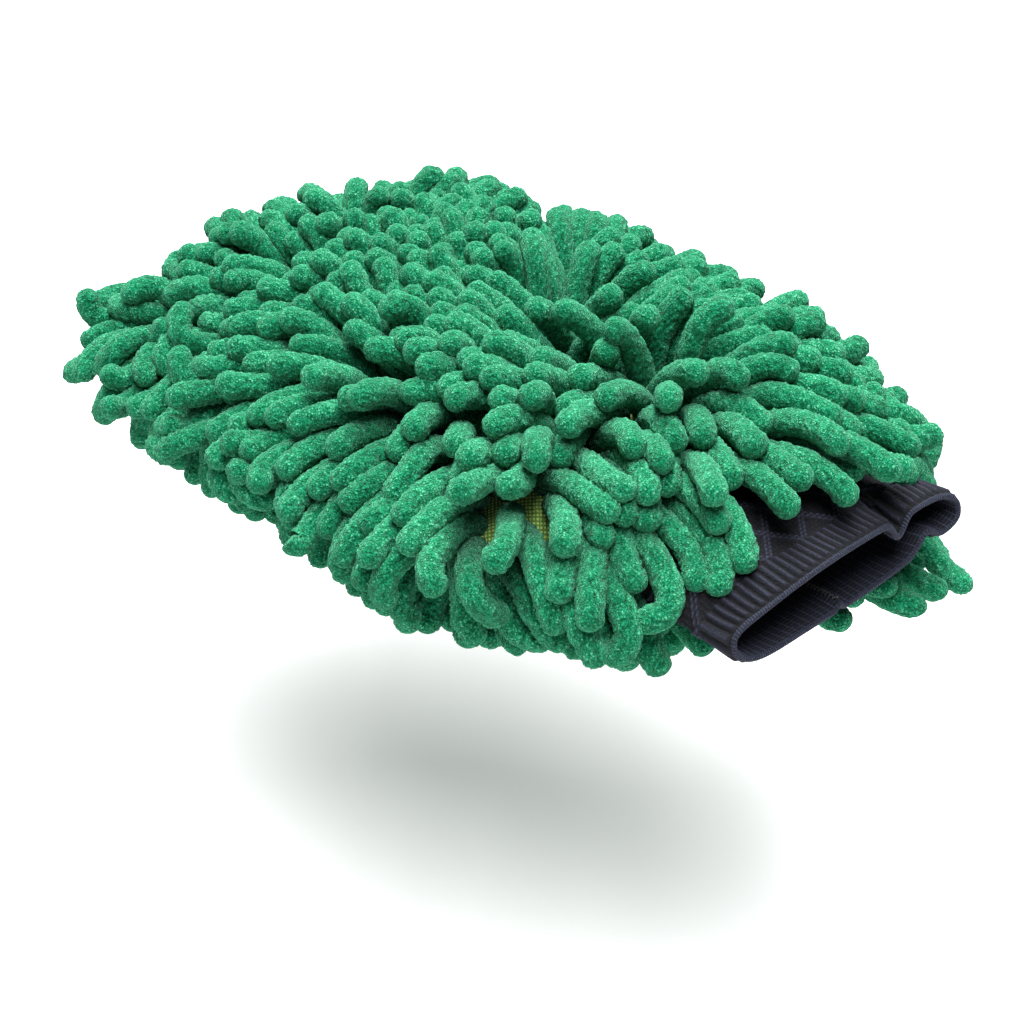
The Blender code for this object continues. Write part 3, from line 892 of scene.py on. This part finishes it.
def add_pile():
    """Plants and settles the fingers of both faces together, then builds them row by row."""
    planted = [plant(side) for side in SIGN]
    sides = np.concatenate([np.full(len(face[0]), sign) for face, sign in zip(planted, SIGN.values())])
    roots, ways, lengths, rows = (np.concatenate(parts) for parts in zip(*planted))
    beads = settle(roots, ways, lengths, sides)
    strand = RNG.uniform(size=len(roots))
    material = chenille_material()
    for side in SIGN:
        for row in range(ROWS):
            chosen = (sides == SIGN[side]) & (rows == row)
            add_row(side, row, material, beads[chosen], lengths[chosen], strand[chosen])


# ---- backing and lining ----
def sheet_grid(xs, shares, side, inset=0.0, drop=0.0, gather=1.0):
    """Points of a smooth bag sheet over one face; gather draws each line in about the wrist's middle."""
    x, t = np.meshgrid(xs, shares, indexing="ij")
    gather = np.broadcast_to(gather, len(xs))[:, None]
    y = t * (bag_half_width(x) - inset) * gather
    rise = np.maximum(bag_crown(x, side) - drop, 0.0) * (1.0 - np.abs(t) ** CROWN_POWER) * gather
    return np.stack([x, y, SEAM_Z + SIGN[side] * (rise + SHEET_GAP)], -1)


def add_backing():
    """The two faces of the knit that holds the fingers, with their wrist edges drawn in."""
    material = backing_material()
    rows, columns = ((130, 360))
    along = WRIST_X + (TIP_X - WRIST_X) * np.sin(np.linspace(0, math.pi / 2, rows))
    xs = np.concatenate([np.full(LIP_ROWS, WRIST_X), along])
    gather = np.concatenate([np.linspace(LIP_GATHER, 1.0, LIP_ROWS, endpoint=False), np.ones(rows)])
    for side in SIGN:
        grid = sheet_grid(xs, np.linspace(-1, 1, columns), side, gather=gather)
        quads = grid_quads(len(xs), columns)
        if side == "palm":
            quads = quads[:, ::-1]
        piece = build_mesh(f"backing_fabric_{side}", grid.reshape(-1, 3), quads)
        dress(piece, material, "backing_knit", f"backing_{side}_hand", f"backing_{side}_finger")
        over_knuckle(piece)


def add_lining(material):
    """The smooth cloth between the hand and the backing, seen through the mouth."""
    rows, columns = 60, 80
    shares = np.linspace(-1, 1, columns)
    depth, wave, seed = LINING_WRINKLE
    xs = np.linspace(LINING_FIRST, LINING_LAST, rows)
    for side in SIGN:
        grid = sheet_grid(xs, shares, side, LINING_INSET, LINING_DROP)
        x, y = grid[..., 0], grid[..., 1]
        grid[..., 2] += depth * soft_noise(x, y, seed, wave) * (1 - shares[None] ** 2)
        quads = grid_quads(rows, columns)
        if side == "top":
            quads = quads[:, ::-1]
        # Ribs in colour only: the knit shader paints them as lighter crests and darker grooves, which is
        # painted highlight and shade.
        values = {"relief": 0.5 + 0.5 * np.cos(2 * math.pi * y / LINING_RIB).ravel()}
        piece = build_mesh(f"lining_{side}", grid.reshape(-1, 3), quads, values=values)
        dress(piece, material, "lining", f"lining_{side}_hand", f"lining_{side}_finger")
        over_knuckle(piece)


# ---- cuff ----
def cuff_surface(u, angle):
    """A place on the middle of the knit: u is 0 at the mouth and 1 at the wrist."""
    c, s = np.cos(angle), np.sin(angle)
    tuck = CUFF_TUCK * np.clip((u - 1.0) / (CUFF_INSIDE - 1.0), 0.0, 1.0)
    wide, high = (size - tuck for size in cuff_half_sizes(u))
    y = wide * np.sign(c) * np.abs(c) ** (2 / CUFF_POWER)
    z = high * np.sign(s) * np.abs(s) ** (2 / CUFF_POWER)
    loose = 1.0 - ease(u)
    for place, depth, width, face in FOLDS:
        on_face = np.clip(face * s * 2.5, 0.0, 1.0)
        z = z - face * depth * np.exp(-(((y - place) / width) ** 2)) * on_face * loose
    z = z + 0.0005 * np.sin(5 * angle + 9 * u + 1.0) * loose
    x = MOUTH_X + RIM_RADIUS + u * (CUFF_LENGTH - RIM_RADIUS) + 0.0008 * np.sin(3 * angle + 0.6) * loose
    swing = CUFF_SWING * loose
    y, z = y * np.cos(swing) + z * np.sin(swing), z * np.cos(swing) - y * np.sin(swing)
    return np.stack([x, y, SEAM_Z - CUFF_DROP * loose + z], -1)


def even_angles(count, u):
    """Angles that space count places evenly along the cuff's outline."""
    fine = np.linspace(0, 2 * math.pi, 4001)
    line = cuff_surface(np.full_like(fine, u), fine)
    run = np.concatenate([[0.0], np.cumsum(np.linalg.norm(np.diff(line, axis=0), axis=1))])
    return np.interp(np.arange(count) / count * run[-1], run, fine)


def mouth_ring(count):
    """The closed path round the mouth."""
    return cuff_surface(np.zeros(count), even_angles(count, 0.0))


def tube_normals(grid):
    """Outward unit normals of a grid of rings."""
    round_about = np.roll(grid, -1, 1) - np.roll(grid, 1, 1)
    normal = unit(np.cross(np.gradient(grid, axis=0), round_about))
    outward = np.sum(normal * (grid - grid.mean(axis=1, keepdims=True)), axis=(1, 2)) > 0
    return np.where(outward[:, None, None], normal, -normal)


def diamond_cords(along, share):
    """Height of the raised diamonds: twin cords that cross, beaded like their stitches."""
    across, up = share * DIAMONDS, (along - HEM) / DIAMOND_HEIGHT
    line = np.zeros_like(share)
    for diagonal in (across + up, across - up):
        off = np.abs((diagonal + 0.5) % 1.0 - 0.5)
        cord = np.exp(-((off / CORD) ** 4)) * (1.0 - 0.6 * np.exp(-((off / CORD_GROOVE) ** 2)))
        line = np.maximum(line, cord)
    return line * (0.80 + 0.20 * np.cos(2 * math.pi * along / STITCH))


def outer_knit(along, share):
    """Height of the outer pattern, 0 to about 1: wide ribs by the mouth, then diamonds over fine ribs."""
    off_rib = np.abs(2 * (share * RIBS % 1.0) - 1.0)
    rib = (0.5 + 0.5 * np.cos(math.pi * off_rib)) ** 0.7
    hem = 1.0 - ease((along - HEM + 0.0006) / 0.0012)
    stitches = 0.6 + 0.4 * np.cos(2 * math.pi * along / STITCH)
    fine = (0.5 + 0.5 * np.cos(2 * math.pi * 2 * share * RIBS)) * stitches
    body = np.maximum(0.45 * fine, 1.3 * diamond_cords(along, share))
    ends = ease(along / 0.0016) * (1.0 - ease((along - CUFF_LENGTH + 0.010) / 0.005))
    return (hem * 0.85 * rib + (1 - hem) * body) * ends


def inner_knit(along, share):
    """Height of the inside's pattern: thin lines along the tube with small rungs between them."""
    rail = np.exp(-((((share * RIBS + 0.5) % 1.0 - 0.5) / 0.09) ** 2))
    rung = 0.5 + 0.5 * np.cos(2 * math.pi * along / RUNG)
    return np.maximum(rail, 0.65 * rung)


def add_cuff(material):
    """One knitted tube, outside and inside."""
    rows, columns = ((170, RIBS * 10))
    u, angle = np.meshgrid(np.linspace(0.0, CUFF_INSIDE, rows), even_angles(columns, 0.25), indexing="ij")
    middle = cuff_surface(u, angle)
    normal = tube_normals(middle)
    share = np.broadcast_to(np.arange(columns) / columns, u.shape)
    outside = outer_knit(u * CUFF_LENGTH, share)
    inside = inner_knit(u * CUFF_LENGTH, share)
    outer = middle + normal * (CUFF_SHEET + KNIT_RELIEF * outside)[..., None]
    inner = middle - normal * (CUFF_SHEET + INSIDE_RELIEF * inside)[..., None]
    points = np.concatenate([outer[::-1], inner]).reshape(-1, 3)
    # The relief also sets the knit's colour: painted shade in the grooves and painted highlight on the
    # raised yarn, inside and out.
    relief = np.concatenate([outside[::-1], 0.30 + inside * 0.95])
    quads = sweep_quads(2 * rows, columns, False)
    piece = build_mesh("cuff_knit_tube", points, quads, values={"relief": relief})
    dress(piece, material, "cuff_knit", "cuff_knit_upper", "cuff_knit_lower")
    over_mouth(piece)


def add_rim(material):
    """The rolled edge round the mouth, bound with close stitches."""
    around = 14
    count = RIM_STITCHES * 8
    run = np.arange(count)[:, None] / count
    turn = np.arange(around)[None, :] / around
    bind = 0.5 + 0.5 * np.cos(2 * math.pi * (run * RIM_STITCHES + turn))
    radius = RIM_RADIUS * (0.93 + 0.06 * bind + 0.03 * np.sin(2 * math.pi * run * 7))
    points = sweep(mouth_ring(count), radius, around, True).reshape(-1, 3)
    quads = sweep_quads(count, around, True)
    # The binding's relief sets its colour: painted highlight on each stitch and painted shade between them.
    piece = build_mesh("cuff_rolled_rim", points, quads, values={"relief": bind})
    dress(piece, material, "cuff_knit", "cuff_rim_upper", "cuff_rim_lower")
    over_mouth(piece)


def add_elastic(material):
    """The elastic cord that runs inside the rolled rim."""
    count, around = 240, 8
    points = sweep(mouth_ring(count), 0.6 * RIM_RADIUS, around, True).reshape(-1, 3)
    piece = build_mesh("elastic_cord", points, sweep_quads(count, around, True))
    dress(piece, material, "elastic", "elastic_cord_upper", "elastic_cord_lower")
    over_mouth(piece)


# ---- seams ----
def sew(name, nodes, thread, material, radius, closed=False, up=(0.3, 0.2, 1.0)):
    """A thin round thread along a path; up is a direction that the path never follows for long."""
    around = 6
    points = sweep(thread, radius, around, closed, up).reshape(-1, 3)
    piece = build_mesh(name, points, sweep_quads(len(thread), around, closed))
    dress(piece, material, "thread", *nodes)
    return piece


def add_edge_seam(material):
    """Overlock stitches that join the two faces round the bag's edge."""
    xs = WRIST_X + (TIP_X - WRIST_X) * np.sin(np.linspace(0, math.pi / 2, 300))
    side = np.stack([xs, bag_half_width(xs), np.full_like(xs, SEAM_Z)], 1)
    corner, count = side[-1, 1], 80
    across = np.linspace(corner, -corner, count)
    end = np.stack([np.full(count, TIP_X), across, np.full(count, SEAM_Z)], 1)[1:-1]
    path = np.concatenate([side, end, side[::-1] * (1, -1, 1)])
    thread = wound(path, closed=False, reach=0.0014, pitch=SEAM_PITCH)
    nodes = ("side_seam_thread_left", "side_seam_thread_right", "tip_seam_thread")
    piece = sew("edge_seam_stitching", nodes, thread, material, radius=0.0004)
    over_knuckle(piece)


def add_wrist_seam(material):
    """Overlock stitches that join the bag and the cuff."""
    count = 301
    ring = cuff_surface(np.ones(count), np.linspace(0, 2 * math.pi, count))
    thread = wound(ring, closed=True, reach=0.0020, pitch=SEAM_PITCH)
    nodes = ("wrist_seam_thread",)
    piece = sew("wrist_seam_stitching", nodes, thread, material, radius=0.0005, closed=True)
    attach(piece, "hand_section")


def add_cuff_seam(material):
    """The seam that closes the knitted tube, along the middle of its lower inside."""
    u = np.linspace(0.03, 0.84, 160)
    path = cuff_surface(u, np.full_like(u, CUFF_SEAM_ANGLE))
    path[:, 2] += CUFF_SHEET + 0.0004
    thread = wound(path, closed=False, reach=0.0005, pitch=0.5 * SEAM_PITCH)
    nodes, up = ("cuff_seam_thread",), (0.2, 0.3, 1.0)
    piece = sew("cuff_seam_stitching", nodes, thread, material, radius=0.0003, up=up)
    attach(piece, "cuff_lower")


# ---- studio ----
def floor_material():
    """Pale and matt, fading into the white room away from the mitt, and clear when seen from below."""
    s = Shader("studio_floor")
    s.set(Base_Color=(*[FLOOR_ALBEDO] * 3, 1.0), Roughness=1.0, Specular_IOR_Level=0.0)
    away = s.add("ShaderNodeVectorMath", {0: s.place()}, operation="LENGTH").outputs["Value"]
    near, far = FLOOR_FADE
    levels = {"Value": away, "From Min": near, "From Max": far, "To Min": FLOOR_GLOW, "To Max": 1.0}
    fade = s.add("ShaderNodeMapRange", levels).outputs["Result"]
    camera_ray = s.add("ShaderNodeLightPath").outputs["Is Camera Ray"]
    share = s.add("ShaderNodeMapRange", {"Value": camera_ray, "To Min": FLOOR_FILL, "To Max": 1.0})
    glow = s.math("MULTIPLY", fade, share.outputs["Result"])
    s.set(Emission_Color=(1.0, 1.0, 1.0, 1.0), Emission_Strength=glow)
    under = s.add("ShaderNodeNewGeometry").outputs["Backfacing"]
    clear = s.add("ShaderNodeBsdfTransparent").outputs["BSDF"]
    seen = s.add("ShaderNodeMixShader", {0: under, 1: s.base.outputs["BSDF"], 2: clear})
    s.links.new(seen.outputs["Shader"], s.nodes["Material Output"].inputs["Surface"])
    return s.material


def add_floor():
    """A flat square some way under the mitt, which floats over it."""
    ends = (-FLOOR_HALF_SIZE, FLOOR_HALF_SIZE)
    corners = np.array([(x, y, FLOOR_Z) for y in ends for x in ends])
    floor = build_mesh("studio_floor", corners, np.array([[0, 1, 3, 2]]))
    floor.data.materials.append(floor_material())


def add_light(name, place, size, power):
    """A rectangular softbox aimed at the mitt, with its second side along the view's depth."""
    data = bpy.data.lights.new(name, "AREA")
    data.shape = "RECTANGLE"
    data.size, data.size_y = size
    data.energy = power
    lamp = bpy.data.objects.new(name, data)
    bpy.context.scene.collection.objects.link(lamp)
    lamp.location = place
    lamp.rotation_mode = "QUATERNION"
    back = (Vector(place) - Vector(LIGHT_TARGET)).normalized()
    depth = (VIEW_DEPTH - back * VIEW_DEPTH.dot(back)).normalized()
    lamp.rotation_quaternion = Matrix((depth.cross(back), depth, back)).transposed().to_quaternion()


def add_studio():
    """A white room that the camera sees at full white, and two lamps."""
    world = bpy.data.worlds.new("studio")
    world.use_nodes = True
    nodes, links = world.node_tree.nodes, world.node_tree.links
    path = nodes.new("ShaderNodeLightPath")
    level = nodes.new("ShaderNodeMapRange")
    level.inputs["To Min"].default_value = ROOM_LIGHT
    level.inputs["To Max"].default_value = 1.0
    links.new(path.outputs["Is Camera Ray"], level.inputs["Value"])
    nodes["Background"].inputs["Color"].default_value = (1.0, 1.0, 1.0, 1.0)
    links.new(level.outputs["Result"], nodes["Background"].inputs["Strength"])
    bpy.context.scene.world = world
    bpy.context.scene.view_settings.view_transform = "Standard"
    add_light("overhead", place=(0.02, -0.02, 1.3), size=(0.5, 2.7), power=90.0)
    add_light("front", place=(-0.9, 0.8, 0.7), size=(0.8, 0.8), power=0.8)


def add_camera():
    """The photographed view: from the cuff's end, over the left edge."""
    back = VIEW_DEPTH * math.cos(VIEW_ELEVATION) + Vector((0.0, 0.0, math.sin(VIEW_ELEVATION)))
    data = bpy.data.cameras.new("camera")
    data.angle = VIEW_ANGLE
    data.clip_start = 0.01
    camera = bpy.data.objects.new("camera", data)
    bpy.context.scene.collection.objects.link(camera)
    camera.location = VIEW_TARGET + back * VIEW_DISTANCE
    camera.rotation_mode = "QUATERNION"
    camera.rotation_quaternion = Quaternion(back, VIEW_ROLL) @ (-back).to_track_quat("-Z", "Y")
    bpy.context.scene.camera = camera


# ---- the mitt ----
green_thread = thread_material("thread_green", (16, 84, 56), (48, 140, 100))
navy_thread = thread_material("thread_navy", (6, 7, 11), (26, 29, 38))
white_elastic = thread_material("elastic_white", (150, 150, 146), (222, 222, 216))
navy = ((1, 1, 3), (16, 18, 28), (50, 54, 70))
pale_navy = ((8, 10, 17), (30, 34, 48), (66, 73, 98))
deep_green = ((10, 44, 34), (20, 70, 54), (40, 104, 82))
navy_knit = knit_material("cuff_knit_navy", navy, rib_share=0.72, scale=1500.0, sheen=0.04)
navy_edge = knit_material("cuff_edge_navy", pale_navy, rib_share=0.50, scale=1700.0, sheen=0.05)
green_cloth = knit_material("lining_green", deep_green, rib_share=0.50, scale=1800.0, sheen=0.20)

add_pile()
add_backing()
add_lining(green_cloth)
add_cuff(navy_knit)
add_rim(navy_edge)
add_elastic(white_elastic)
add_edge_seam(green_thread)
add_wrist_seam(green_thread)
add_cuff_seam(navy_thread)
add_floor()
add_studio()
add_camera()
